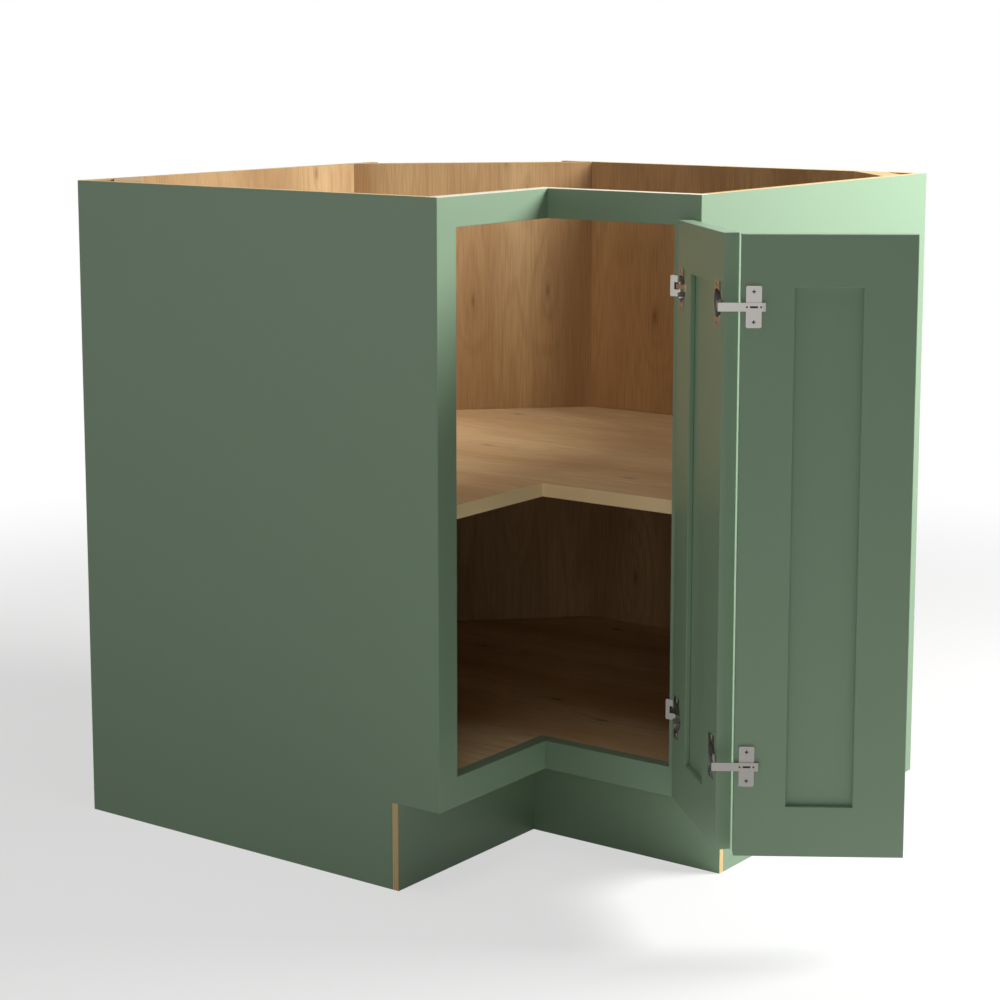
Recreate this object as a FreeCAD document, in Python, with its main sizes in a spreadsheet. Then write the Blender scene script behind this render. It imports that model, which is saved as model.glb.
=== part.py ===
# Corner base cabinet: an L-shaped face-frame carcass with a clipped back corner and a pair of bi-fold doors.
# The origin is the room's corner at the floor. X runs along the right wing's wall and -Y along the left wing's
# wall, so the notch between the wings faces +X and -Y. The doors stand open, as they are at rest.
import FreeCAD, Part
import os
import re
import Sketcher

SIZES = {
    # carcass
    "wing_depth": 609.6,
    "wing_front": 228.6,
    "cabinet_height": 876.3,
    "ply": 12.7,
    "groove_depth": 6.0,
    "groove_slack": 0.2,
    "back_cut": 288.0,
    "back_start": 217.0,
    "shelf_height": 491.4,
    "shelf_thickness": 18.0,
    "shelf_slack": 0.5,
    "brace_outer": 43.0,
    "brace_inner": 96.5,
    "brace_thickness": 19.05,
    "kick_height": 114.3,
    "kick_setback": 65.0,
    "kick_thickness": 9.5,
    # face frame
    "frame_thickness": 19.05,
    "stile_width": 38.1,
    "rail_width": 38.1,
    # doors
    "door_thickness": 19.05,
    "door_lift": 4.5,
    "door_drop": 30.5,
    "door_gap": 2.5,
    "door_reveal": 6.2,
    "door_member": 60.3,
    "panel_thickness": 6.35,
    "panel_groove": 8.0,
    "panel_slack": 0.1,
    "panel_play": 0.6,
    "fold_gap": 3.0,
    # how far the doors stand open, in degrees
    "swing_angle": 137.0,
    "unfold_angle": 13.0,
    # hinges
    "hinge_from_top": 82.0,
    "hinge_from_bottom": 109.0,
    "cup_inset": 20.5,
    "cup_radius": 17.5,
    "cup_wall": 1.0,
    "cup_depth": 13.9,
    "flange_width": 20.0,
    "flange_height": 52.0,
    "flange_thickness": 1.0,
    "pin_radius": 1.5,
    "pin_clearance": 0.05,
    "pin_depth": 9.5,
    "knuckle_radius": 2.8,
    "knuckle_height": 10.0,
    "strap_thickness": 2.2,
    "frame_strap_height": 6.0,
    "frame_pin_inset": 6.8,
    "frame_pin_length": 16.0,
    "slot_height": 12.4,
    "slot_depth": 12.6,
    "clip_thickness": 2.0,
    "clip_height": 26.0,
    "lip_thickness": 1.2,
    "lip_out": 4.7,
    "lip_in": 10.0,
    "fold_pin_inset": 8.5,
    "fold_pin_length": 23.2,
    "fold_leg_gap": 2.6,
    "fold_reach": 28.0,
    "plate_inset": 5.0,
    "plate_width": 18.0,
    "plate_height": 48.0,
    "plate_thickness": 2.5,
    # screws
    "screw_radius": 1.75,
    "screw_length": 11.0,
    "head_radius": 3.6,
    "head_height": 1.6,
    "cup_screw_head": 0.6,
    "cup_screw_spacing": 45.0,
    "plate_screw_spacing": 34.6,
    "clip_screw_spacing": 15.0,
    # how far every cutter runs past what it cuts
    "overrun": 2.0,
}

WIDTH = "(wing_depth + wing_front)"
DOOR_HEIGHT = "(cabinet_height - kick_height - door_lift - door_drop)"
DOOR_WIDTH = f"({WIDTH} - door_reveal - wing_depth - door_gap - door_thickness - fold_gap)"
DECK_TOP = "(kick_height + rail_width)"
FRAME_BACK = "(wing_depth - frame_thickness)"
KICK_FRONT = "(wing_depth - kick_setback)"
KICK_BACK = "(wing_depth - kick_setback - kick_thickness)"
OPENING_EDGE = f"({WIDTH} - stile_width)"
GROOVE_EDGE = "(ply - groove_depth)"
HINGE_HEIGHTS = {"lower": "hinge_from_bottom", "upper": f"({DOOR_HEIGHT} - hinge_from_top)"}
DOOR_FOOT = "(kick_height + door_lift)"

doc = FreeCAD.newDocument("corner_base_cabinet")
nodes = []


class Frame:
    """A place and a turn about the vertical, as formulas in the sheet's names."""

    def __init__(self, x="0", y="0", z="0", turn="0"):
        self.x, self.y, self.z, self.turn = x, y, z, turn

    def point(self, along, out):
        """Gives the cabinet's X and Y formulas of a point of this frame."""
        x = f"{self.x} + ({along}) * cos({self.turn}) - ({out}) * sin({self.turn})"
        y = f"{self.y} + ({along}) * sin({self.turn}) + ({out}) * cos({self.turn})"
        return x, y


CABINET = Frame()


def make_sheet():
    """Writes the driving sizes to the sheet, one named cell each."""
    sheet = doc.addObject("Spreadsheet::Sheet", "Sizes")
    for row, (alias, value) in enumerate(SIZES.items(), start=1):
        sheet.set(f"A{row}", alias)
        sheet.set(f"B{row}", str(value))
        sheet.setAlias(f"B{row}", alias)
    doc.recompute()


def bind(item, prop, formula):
    """Binds a property to a formula written in the sheet's names."""
    named = re.sub(r"[a-z_]+", lambda m: "Sizes." + m[0] if m[0] in SIZES else m[0], formula)
    item.setExpression(prop, named)


def place(item, frame, at=("0", "0", "0")):
    """Places an item at a point of a frame, turned with the frame."""
    x, y = frame.point(at[0], at[1])
    bind(item, "Placement.Base.x", x)
    bind(item, "Placement.Base.y", y)
    bind(item, "Placement.Base.z", f"{frame.z} + {at[2]}")
    if frame.turn != "0":
        bind(item, "Placement.Rotation.Angle", frame.turn)


def box(size, at, frame=CABINET):
    """Makes a block of a given size whose low corner is at a point of a frame."""
    block = doc.addObject("Part::Box", "Block")
    for prop, formula in zip(("Length", "Width", "Height"), size):
        bind(block, prop, formula)
    place(block, frame, at)
    return block


def rod(radius, length, at, axis):
    """Makes a round bar from a point along +X, +Y or +Z."""
    bar = doc.addObject("Part::Cylinder", "Rod")
    bind(bar, "Radius", radius)
    bind(bar, "Height", length)
    bar.Placement.Rotation = FreeCAD.Rotation(FreeCAD.Vector(0, 0, 1), FreeCAD.Vector(*axis))
    for prop, formula in zip("xyz", at):
        bind(bar, "Placement.Base." + prop, formula)
    return bar


ALONG_X, ALONG_Y, ALONG_Z = (1, 0, 0), (0, 1, 0), (0, 0, 1)


def join(shapes):
    """Joins overlapping shapes into one."""
    if len(shapes) == 1:
        return shapes[0]
    fuse = doc.addObject("Part::MultiFuse", "Joined")
    fuse.Shapes = shapes
    fuse.Refine = True
    return fuse


def cut(base, tools):
    """Cuts the joined tools out of a base."""
    if not tools:
        return base
    result = doc.addObject("Part::Cut", "Cut")
    result.Base = base
    result.Tool = join(tools)
    return result


def group(shapes):
    """Collects separate solids into one node."""
    compound = doc.addObject("Part::Compound", "Group")
    compound.Links = shapes
    return compound


def node(label, item, frame=None):
    """Names a finished piece and, where a frame is given, carries it there."""
    if frame is not None:
        place(item, frame)
    item.Label = label
    nodes.append(item)


def prism(points, low, thickness):
    """Makes an upright prism from (distance from left wall, distance from right wall) formulas."""
    body = doc.addObject("PartDesign::Body", "Panel")
    sketch = body.newObject("Sketcher::SketchObject", "Outline")
    plane = [item for item in body.Origin.OriginFeatures if item.Role == "XY_Plane"][0]
    sketch.AttachmentSupport = [(plane, "")]
    sketch.MapMode = "FlatFace"
    first = [sheet_point(point) for point in points]
    count = len(points)
    for index in range(count):
        sketch.addGeometry(Part.LineSegment(first[index], first[(index + 1) % count]))
    for index in range(count):
        sketch.addConstraint(Sketcher.Constraint("Coincident", index, 2, (index + 1) % count, 1))
    for index, (across, out) in enumerate(points):
        start = first[index]
        row = sketch.addConstraint(Sketcher.Constraint("DistanceX", -1, 1, index, 1, start.x))
        bind(sketch, f"Constraints[{row}]", across)
        row = sketch.addConstraint(Sketcher.Constraint("DistanceY", index, 1, -1, 1, -start.y))
        bind(sketch, f"Constraints[{row}]", out)
    pad = body.newObject("PartDesign::Pad", "Thickness")
    pad.Profile = sketch
    bind(pad, "Length", thickness)
    bind(body, "Placement.Base.z", low)
    return body


def sheet_point(point):
    """Evaluates a pair of formulas, so that a sketch starts out near its final shape."""
    values = []
    for formula in point:
        probe = doc.addObject("Part::Box", "Probe")
        bind(probe, "Length", formula)
        doc.recompute()
        values.append(probe.Length.Value)
        doc.removeObject(probe.Name)
    return FreeCAD.Vector(values[0], -values[1], 0)


def wing_box(side, along, out, up):
    """Makes a block of one wing from (low, high) pairs along its wall, out from its wall and upwards."""
    length = f"({along[1]}) - ({along[0]})"
    depth = f"({out[1]}) - ({out[0]})"
    height = f"({up[1]}) - ({up[0]})"
    if side == "left":
        return box((depth, length, height), (out[0], f"-({along[1]})", up[0]))
    return box((length, depth, height), (along[0], f"-({out[1]})", up[0]))


def swapped(side, points):
    """Mirrors an outline of the left wing to the right wing."""
    if side == "left":
        return points
    return [(out, across) for across, out in reversed(points)]


def floor_outline(edge, corner, front):
    """Gives the L-shaped outline of a panel that spans both wings and the clipped corner."""
    far = f"{WIDTH} - ({edge})"
    return [
        (edge, f"{corner} - ({edge})"),
        (edge, far),
        (front, far),
        (front, front),
        (far, front),
        (far, edge),
        (f"{corner} - ({edge})", edge),
    ]


def make_floors():
    """Makes the deck and the shelf, and returns the grooves that hold them."""
    edge = f"({GROOVE_EDGE} + groove_slack)"
    corner = "(back_cut - (groove_depth - groove_slack) * sqrt(2))"
    groove_corner = "(back_cut - groove_depth * sqrt(2))"
    floors = {
        "deck": (f"{DECK_TOP} - ply", "ply", FRAME_BACK),
        "shelf": ("shelf_height - shelf_thickness", "shelf_thickness", f"({FRAME_BACK} - shelf_slack)"),
    }
    grooves = []
    for label, (low, thickness, front) in floors.items():
        node(label, prism(floor_outline(edge, corner, front), low, thickness))
        outline = floor_outline(GROOVE_EDGE, groove_corner, "wing_depth")
        grooves.append(prism(outline, low, f"{thickness} + groove_slack"))
    return join(grooves)


def make_wing(side, grooves):
    """Makes the panels and the face frame of one wing."""
    full = ("0", "cabinet_height")
    beyond = (f"{WIDTH} - ply - overrun", f"{WIDTH} + overrun")
    panel = wing_box(side, (f"{WIDTH} - ply", WIDTH), ("0", FRAME_BACK), full)
    notch = wing_box(side, beyond, (KICK_BACK, "wing_depth"), ("-overrun", "kick_height"))
    node(f"{side}_side_panel", cut(panel, [grooves, notch]))

    back = wing_box(side, ("back_start", f"{WIDTH} - ply"), ("0", "ply"), full)
    node(f"{side}_back_panel", cut(back, [grooves]))

    end = f"{WIDTH} - ply"
    brace = [
        ("ply", f"{end} - brace_outer"),
        ("ply + brace_outer", end),
        ("ply + brace_inner", end),
        ("ply", f"{end} - brace_inner"),
    ]
    brace_low = "cabinet_height - brace_thickness"
    node(f"{side}_corner_brace", prism(swapped(side, brace), brace_low, "brace_thickness"))

    # The left wing's boards run through the inner corner, and the right wing's butt against them.
    kick_start = KICK_BACK if side == "left" else KICK_FRONT
    kick_span = (kick_start, WIDTH)
    node(f"{side}_toe_kick", wing_box(side, kick_span, (KICK_BACK, KICK_FRONT), ("0", "kick_height")))

    rail_start = FRAME_BACK if side == "left" else "wing_depth"
    rail_span = (rail_start, OPENING_EDGE)
    frame_out = (FRAME_BACK, "wing_depth")
    top = ("cabinet_height - rail_width", "cabinet_height")
    node(f"{side}_top_rail", wing_box(side, rail_span, frame_out, top))
    node(f"{side}_bottom_rail", wing_box(side, rail_span, frame_out, ("kick_height", DECK_TOP)))

    stile = wing_box(side, (OPENING_EDGE, WIDTH), frame_out, ("kick_height", "cabinet_height"))
    pilots = clip_screws("screw_radius + pin_clearance", None) if side == "right" else []
    node(f"{side}_stile", cut(stile, pilots))


def make_diagonal_back(grooves):
    """Makes the panel that clips the back corner, mitred between the two back panels."""
    inner = "back_cut - ply"
    outer = "back_cut - ply * sqrt(2) - ply"
    outline = [("ply", inner), (inner, "ply"), (outer, "ply"), ("ply", outer)]
    node("diagonal_back_panel", cut(prism(outline, "0", "cabinet_height"), [grooves]))


# The frame pin stands where the hinged door turns, and the fold pin where the two doors fold.
FRAME_PIN_X = f"({WIDTH} - door_reveal - frame_pin_inset)"
FRAME_PIN_Y = "(-(wing_depth + door_gap + pin_depth))"
HINGED_TURN = "(swing_angle - 180)"
PIN_FRAME = Frame(FRAME_PIN_X, FRAME_PIN_Y, DOOR_FOOT, HINGED_TURN)
HINGED = Frame(*PIN_FRAME.point("-frame_pin_inset", "-pin_depth"), DOOR_FOOT, HINGED_TURN)
FOLD_TURN = "(swing_angle - 90 - unfold_angle)"
FOLD_ALONG = "(pin_depth - door_thickness - fold_gap)"
FOLD_OUT = "(door_thickness + fold_gap + fold_pin_inset)"
FOLD_PIN_FRAME = Frame(*HINGED.point(f"{DOOR_WIDTH} - fold_pin_inset", "pin_depth"), DOOR_FOOT, FOLD_TURN)
FOLDING = Frame(*FOLD_PIN_FRAME.point(f"-{FOLD_ALONG}", f"-{FOLD_OUT}"), DOOR_FOOT, FOLD_TURN)


def screw(radius, head, at, axis, length="screw_length", head_radius="head_radius"):
    """Makes a screw from its head's seat along an axis, or only its pilot hole where head is None."""
    shank = rod(radius, length, at, axis)
    if head is None:
        return shank
    seat = [f"{formula} - ({head}) * {part}" for formula, part in zip(at, axis)]
    return join([shank, rod(head_radius, head, seat, axis)])


def spread(spacing):
    """Gives the heights of a pair of screws at both hinges."""
    return [f"{height} + {spacing} * {sign} / 2" for height in HINGE_HEIGHTS.values() for sign in (-1, 1)]


def clip_screws(radius, head):
    """Makes the screws that hold the frame hinges to the right stile's inner edge."""
    seat = f"{OPENING_EDGE} - clip_thickness"
    middle = "-(wing_depth - frame_thickness / 2)"
    heights = spread("clip_screw_spacing")
    return [screw(radius, head, (seat, middle, f"{DOOR_FOOT} + {up}"), ALONG_X) for up in heights]


def cup_screws(across, radius, head):
    """Makes the screws of the cups at one edge of the hinged door."""
    heights = spread("cup_screw_spacing")
    length = "pin_depth"
    return [screw(radius, head, (across, "-flange_thickness", up), ALONG_Y, length) for up in heights]


def plate_screws(radius, head_radius):
    """Makes the screws whose heads lie flush in the fold plates, or the holes for them."""
    middle = "plate_inset + plate_width / 2"
    seat = "-(plate_thickness - head_height)"
    return [
        screw(radius, "head_height", (middle, seat, up), ALONG_Y, head_radius=head_radius)
        for up in spread("plate_screw_spacing")
    ]


def hinge_pin(across, length, height, radius="pin_radius"):
    """Makes a pin, or the hole for one, across a cup of the hinged door."""
    return rod(radius, length, (across, "pin_depth", f"{height} - ({length}) / 2"), ALONG_Z)


def arm_slot(height):
    """Makes the slot through which the frame hinge's arm leaves the open door's edge."""
    size = ("overrun + frame_pin_inset", "overrun + slot_depth", "slot_height")
    return box(size, ("-overrun", "-overrun", f"{height} - slot_height / 2"))


def cup(across, height, holes):
    """Makes a round hinge cup with its screw flange, and cuts its holes."""
    bowl = rod("cup_radius", "cup_depth", (across, "0", height), ALONG_Y)
    size = ("flange_width", "flange_thickness", "flange_height")
    corner = (f"{across} - flange_width / 2", "-flange_thickness", f"{height} - flange_height / 2")
    hollow_start = "-(flange_thickness + overrun)"
    hollow_length = "cup_depth - cup_wall + flange_thickness + overrun"
    hollow = rod("cup_radius - cup_wall", hollow_length, (across, hollow_start, height), ALONG_Y)
    return cut(join([bowl, box(size, corner)]), [hollow] + holes)


def door_stile(label, start, end, groove, cutters, frame):
    """Makes one upright of a door, grooved for the panel on its inner edge."""
    base = box((f"{end} - ({start})", "door_thickness", DOOR_HEIGHT), (start, "0", "0"))
    size = ("panel_groove + overrun", "panel_thickness + 2 * panel_slack", f"{DOOR_HEIGHT} + 2 * overrun")
    slot = box(size, (groove, "(door_thickness - panel_thickness) / 2 - panel_slack", "-overrun"))
    node(label, cut(base, [slot] + cutters), frame)


def make_door(name, stiles, low_cutters, high_cutters, frame):
    """Makes a five-piece door: two stiles, two rails tongued into them, and a flat panel in their grooves."""
    inner = f"({DOOR_WIDTH} - door_member)"
    tongue = "(panel_thickness + 2 * panel_slack)"
    middle = "((door_thickness - panel_thickness) / 2)"
    low_groove = "door_member - panel_groove"
    door_stile(f"{name}_{stiles[0]}", "0", "door_member", low_groove, low_cutters, frame)
    door_stile(f"{name}_{stiles[1]}", inner, DOOR_WIDTH, f"{inner} - overrun", high_cutters, frame)

    span = f"{inner} - door_member"
    rails = {"bottom_rail": ("0", low_groove), "top_rail": (f"{DOOR_HEIGHT} - door_member", None)}
    for part, (low, groove) in rails.items():
        rail = box((span, "door_thickness", "door_member"), ("door_member", "0", low))
        tongue_size = (f"{span} + 2 * panel_groove", tongue, "door_member")
        tongues = box(tongue_size, (low_groove, f"{middle} - panel_slack", low))
        groove_low = groove or f"{low} - overrun"
        groove_size = (f"{span} + 2 * (panel_groove + overrun)", tongue, "panel_groove + overrun")
        slot = box(groove_size, (f"{low_groove} - overrun", f"{middle} - panel_slack", groove_low))
        node(f"{name}_{part}", cut(join([rail, tongues]), [slot]), frame)

    reach = "(panel_groove - panel_play)"
    size = (f"{span} + 2 * {reach}", "panel_thickness", f"{DOOR_HEIGHT} - 2 * (door_member - {reach})")
    start = f"door_member - {reach}"
    node(f"{name}_panel", box(size, (start, middle, start), frame))


def make_hinged_door():
    """Makes the door that hangs on the frame, with the cups and pins of all its hinges."""
    edges = {
        "frame": ("cup_inset", "frame_pin_inset", "frame_pin_length"),
        "fold": (f"({DOOR_WIDTH} - cup_inset)", f"({DOOR_WIDTH} - fold_pin_inset)", "fold_pin_length"),
    }
    cutters = {"frame": [], "fold": []}
    screws = []
    for edge, (across, pin_across, pin_length) in edges.items():
        pilots = cup_screws(across, "screw_radius + pin_clearance", None)
        for level, height in HINGE_HEIGHTS.items():
            slot = [arm_slot(height)] if edge == "frame" else []
            pin_hole = hinge_pin(pin_across, pin_length, height)
            seat = rod("cup_radius", "cup_depth", (across, "0", height), ALONG_Y)
            cutters[edge] += [seat, pin_hole] + slot
            node(f"{level}_{edge}_hinge_cup", cup(across, height, [pin_hole] + slot + pilots), HINGED)
            node(f"{level}_{edge}_hinge_pin", group([hinge_pin(pin_across, pin_length, height)]), HINGED)
        cutters[edge] += pilots
        screws += cup_screws(across, "screw_radius", "cup_screw_head")
    node("hinge_cup_screws", group(screws), HINGED)
    make_door("hinged_door", ("hinge_stile", "fold_stile"), cutters["frame"], cutters["fold"], HINGED)


def make_frame_hinge_arms():
    """Makes the arms that reach from the right stile's inner edge to the pins of the hinged door."""
    end_x = f"({OPENING_EDGE} + lip_in / 2)"
    end_y = "(-(wing_depth + lip_thickness / 2 + strap_thickness / 2))"
    run_x = f"({end_x} - {FRAME_PIN_X})"
    run_y = f"({end_y} - {FRAME_PIN_Y})"
    arm_frame = Frame(FRAME_PIN_X, FRAME_PIN_Y, DOOR_FOOT, f"atan2({run_y}; {run_x})")
    for level, height in HINGE_HEIGHTS.items():
        low = f"{height} - knuckle_height / 2"
        world_low = f"{DOOR_FOOT} + {low}"
        strap_size = (f"hypot({run_x}; {run_y})", "strap_thickness", "frame_strap_height")
        strap_low = f"{height} - frame_strap_height / 2"
        strap = box(strap_size, ("0", "-strap_thickness / 2", strap_low), arm_frame)
        pin_place = (FRAME_PIN_X, FRAME_PIN_Y, world_low)
        knuckle = rod("knuckle_radius", "knuckle_height", pin_place, ALONG_Z)
        clip_low = f"{DOOR_FOOT} + {height} - clip_height / 2"
        clip_size = ("clip_thickness", "frame_thickness + lip_thickness", "clip_height")
        front = "-(wing_depth + lip_thickness)"
        clip = box(clip_size, (f"{OPENING_EDGE} - clip_thickness", front, clip_low))
        lip_size = ("lip_out + lip_in", "lip_thickness", "clip_height")
        lip = box(lip_size, (f"{OPENING_EDGE} - lip_out", front, clip_low))
        bore_low = (FRAME_PIN_X, FRAME_PIN_Y, f"{world_low} - overrun")
        bore = rod("pin_radius + pin_clearance", "knuckle_height + 2 * overrun", bore_low, ALONG_Z)
        holes = clip_screws("screw_radius + pin_clearance", None)
        node(f"{level}_frame_hinge_arm", cut(join([strap, knuckle, clip, lip]), [bore] + holes))
    node("hinge_clip_screws", group(clip_screws("screw_radius", "head_height")))


def make_folding_door():
    """Makes the door that folds on the other one, with the plates and arms of its hinges."""
    pilots = plate_screws("screw_radius + pin_clearance", "head_radius + pin_clearance")
    make_door("folding_door", ("fold_stile", "free_stile"), pilots, [], FOLDING)
    leg = "(-(door_thickness + fold_gap + fold_leg_gap + strap_thickness))"
    back = "(-(plate_thickness + strap_thickness))"
    for level, height in HINGE_HEIGHTS.items():
        low = f"{height} - knuckle_height / 2"
        plate_size = ("plate_width", "plate_thickness", "plate_height")
        plate = box(plate_size, ("plate_inset", "-plate_thickness", f"{height} - plate_height / 2"))
        node(f"{level}_fold_hinge_plate", cut(plate, pilots), FOLDING)
        long_leg = box((f"fold_reach - {leg}", "strap_thickness", "knuckle_height"), (leg, back, low))
        side_size = ("strap_thickness", f"{FOLD_OUT} + strap_thickness / 2 - {back}", "knuckle_height")
        side_leg = box(side_size, (leg, back, low))
        nose_size = (f"{FOLD_ALONG} - {leg}", "strap_thickness", "knuckle_height")
        nose = box(nose_size, (leg, f"{FOLD_OUT} - strap_thickness / 2", low))
        knuckle = rod("knuckle_radius", "knuckle_height", (FOLD_ALONG, FOLD_OUT, low), ALONG_Z)
        bore_low = (FOLD_ALONG, FOLD_OUT, f"{low} - overrun")
        bore = rod("pin_radius + pin_clearance", "knuckle_height + 2 * overrun", bore_low, ALONG_Z)
        node(f"{level}_fold_hinge_arm", cut(join([long_leg, side_leg, nose, knuckle]), [bore]), FOLDING)
    node("fold_plate_screws", group(plate_screws("screw_radius", "head_radius")), FOLDING)


def check_and_write():
    """Stops on any failed object or shape, then writes each piece to its file."""
    doc.recompute()
    for item in doc.Objects:
        if "Invalid" in item.State or "Error" in item.State:
            raise RuntimeError(f"{item.Label} failed: {item.State}")
    for item in nodes:
        if item.Shape.isNull() or not item.Shape.isValid():
            raise RuntimeError(f"{item.Label} has no valid shape")
    os.makedirs("parts", exist_ok=True)
    for item in nodes:
        item.Shape.exportStep(f"parts/{item.Label}.step")
        print(f"{item.Label}: {len(item.Shape.Solids)} solids, {item.Shape.Volume:.0f} mm3")


make_sheet()
groove_cutter = make_floors()
for wing_side in ("left", "right"):
    make_wing(wing_side, groove_cutter)
make_diagonal_back(groove_cutter)
make_hinged_door()
make_frame_hinge_arms()
make_folding_door()
check_and_write()
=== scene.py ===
"""Dresses the corner base cabinet.

The frame and doors are painted, the inside is natural wood, the hinges are nickel-plated, and
the cabinet stands in a pale studio.
"""

import logging
import math
from dataclasses import dataclass, field
from enum import Enum

import bmesh
import bpy
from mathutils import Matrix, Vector
from mathutils.bvhtree import BVHTree


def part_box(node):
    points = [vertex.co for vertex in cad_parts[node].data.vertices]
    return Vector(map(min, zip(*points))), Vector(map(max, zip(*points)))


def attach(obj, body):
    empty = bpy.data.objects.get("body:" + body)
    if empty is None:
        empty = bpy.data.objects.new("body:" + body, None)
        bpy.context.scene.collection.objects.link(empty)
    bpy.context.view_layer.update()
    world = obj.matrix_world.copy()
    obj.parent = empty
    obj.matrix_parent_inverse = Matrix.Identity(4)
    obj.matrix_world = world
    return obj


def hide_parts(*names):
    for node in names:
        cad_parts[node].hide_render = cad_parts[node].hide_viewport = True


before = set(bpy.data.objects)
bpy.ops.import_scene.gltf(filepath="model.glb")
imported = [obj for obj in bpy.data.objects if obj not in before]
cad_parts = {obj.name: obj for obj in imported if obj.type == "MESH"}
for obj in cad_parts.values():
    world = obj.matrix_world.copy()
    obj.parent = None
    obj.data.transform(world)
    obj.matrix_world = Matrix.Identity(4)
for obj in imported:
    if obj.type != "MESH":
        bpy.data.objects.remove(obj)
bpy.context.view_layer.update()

LOG = logging.getLogger("corner_base_cabinet")
MM = 0.001

WELD_MM = 0.01  # points closer than this are one point
CUT_MM = 0.001  # points this near a window's cutting plane lie on it
LENGTH_SLACK_MM = 0.1  # how far an edge's length or a screw head's height may be off
LEVEL_SLACK_MM = 0.2  # how far a face may lie above or below the window pressed into it

FLAT_BEND = math.radians(1)  # faces that bend less are merged into one
ROUND_BENDS = (math.radians(0.5), math.radians(30))  # between the facets of a round surface
CREASE_BEND = math.radians(20)  # shading breaks at edges that bend more
SHARP_BEND = math.radians(40)  # edges that bend more are eased
CORNER_BEND = math.radians(80)  # edges that bend more are corners of a plate

SQUARE_ON = 0.9  # least cosine at which a face counts as facing a direction
ROUND_PROFILE = 0.5  # a bevel with this profile is part of a circle
CORNER_SEGMENTS = 5  # facets of a rounded plate corner
SUNK = 9  # marks the floor of a pressed window until its finish, a painted shade, is known

RIGHT, LEFT = Vector((1, 0, 0)), Vector((-1, 0, 0))
BACK, FRONT = Vector((0, 1, 0)), Vector((0, -1, 0))
UP, DOWN = Vector((0, 0, 1)), Vector((0, 0, -1))
SLANT = Vector((1, -1, 0)).normalized()  # the way the panel across the back corner looks

BLACK, WHITE = "000000", "FFFFFF"
MIX_SHARE, MIX_UNDER, MIX_OVER, MIX_RESULT = 0, 6, 7, 2  # a Mix node's sockets for colours

# Distance from a knot's middle, in knot spacings, to how strongly the knot's colour shows.
KNOT_STRENGTH = {0.012: "BEBEBE", 0.030: "747474", 0.060: "343434", 0.150: BLACK}

FaceFinish = tuple[Vector, bpy.types.Material]


class Body(Enum):
    """The bodies that pieces ride."""

    CABINET = "cabinet"
    HINGED_DOOR = "hinged_door"
    FOLDING_DOOR = "folding_door"


class Slot(Enum):
    """The material slots of the part."""

    PAINT = "sage_paint"
    WOOD = "natural_wood"
    STEEL = "hinge_steel"


class Grain(Enum):
    """The way along a board's grain and the way across it, in the object's axes."""

    ACROSS = ((1.0, 0.0, 0.0), (0.0, 1.0, 1.0))
    UPRIGHT = ((0.0, 0.0, 1.0), (1.0, 1.0, 0.0))


def linear(code: str) -> tuple[float, float, float, float]:
    """Turns an sRGB hex colour into linear values.

    Args:
        code: Six hex digits.

    Returns:
        Red, green, blue and alpha.
    """
    values = []
    for start in (0, 2, 4):
        part = int(code[start:start + 2], 16) / 255
        # The sRGB curve has a straight foot below its power.
        values.append(part / 12.92 if part <= 0.04045 else ((part + 0.055) / 1.055) ** 2.4)
    return values[0], values[1], values[2], 1.0


def add_node(tree: bpy.types.NodeTree, kind: str, settings: dict, links: dict) -> bpy.types.Node:
    """Adds a shader node.

    Args:
        tree: The material's node tree.
        kind: The node's type name.
        settings: Attribute values, or socket values where the node has no such attribute.
        links: Socket name or number to the output socket that feeds it.

    Returns:
        The new node.
    """
    made = tree.nodes.new(kind)
    for name, value in settings.items():
        if isinstance(name, str) and hasattr(made, name):
            setattr(made, name, value)
        else:
            made.inputs[name].default_value = value
    for name, source in links.items():
        tree.links.new(source, made.inputs[name])
    return made


def add_ramp(
    tree: bpy.types.NodeTree, source: bpy.types.NodeSocket, stops: dict[float, str],
) -> bpy.types.NodeSocket:
    """Adds a colour ramp over a pattern.

    Args:
        tree: The material's node tree.
        source: The pattern's output.
        stops: Place along the ramp to hex colour.

    Returns:
        The ramp's colour.
    """
    ramp = add_node(tree, "ShaderNodeValToRGB", {}, {"Fac": source})
    bands = ramp.color_ramp.elements
    for index, (place, code) in enumerate(stops.items()):
        band = bands[index] if index < len(bands) else bands.new(place)
        band.position = place
        band.color = linear(code)
    return ramp.outputs["Color"]


def new_material(name: str, sockets: dict) -> tuple[bpy.types.Material, bpy.types.Node]:
    """Starts a material.

    Args:
        name: The material's name.
        sockets: The shader's socket names and their constant values.

    Returns:
        The material and its shader.
    """
    made = bpy.data.materials.new(name)
    made.use_nodes = True
    shader = made.node_tree.nodes["Principled BSDF"]
    for socket, value in sockets.items():
        shader.inputs[socket].default_value = value
    return made, shader


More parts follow.
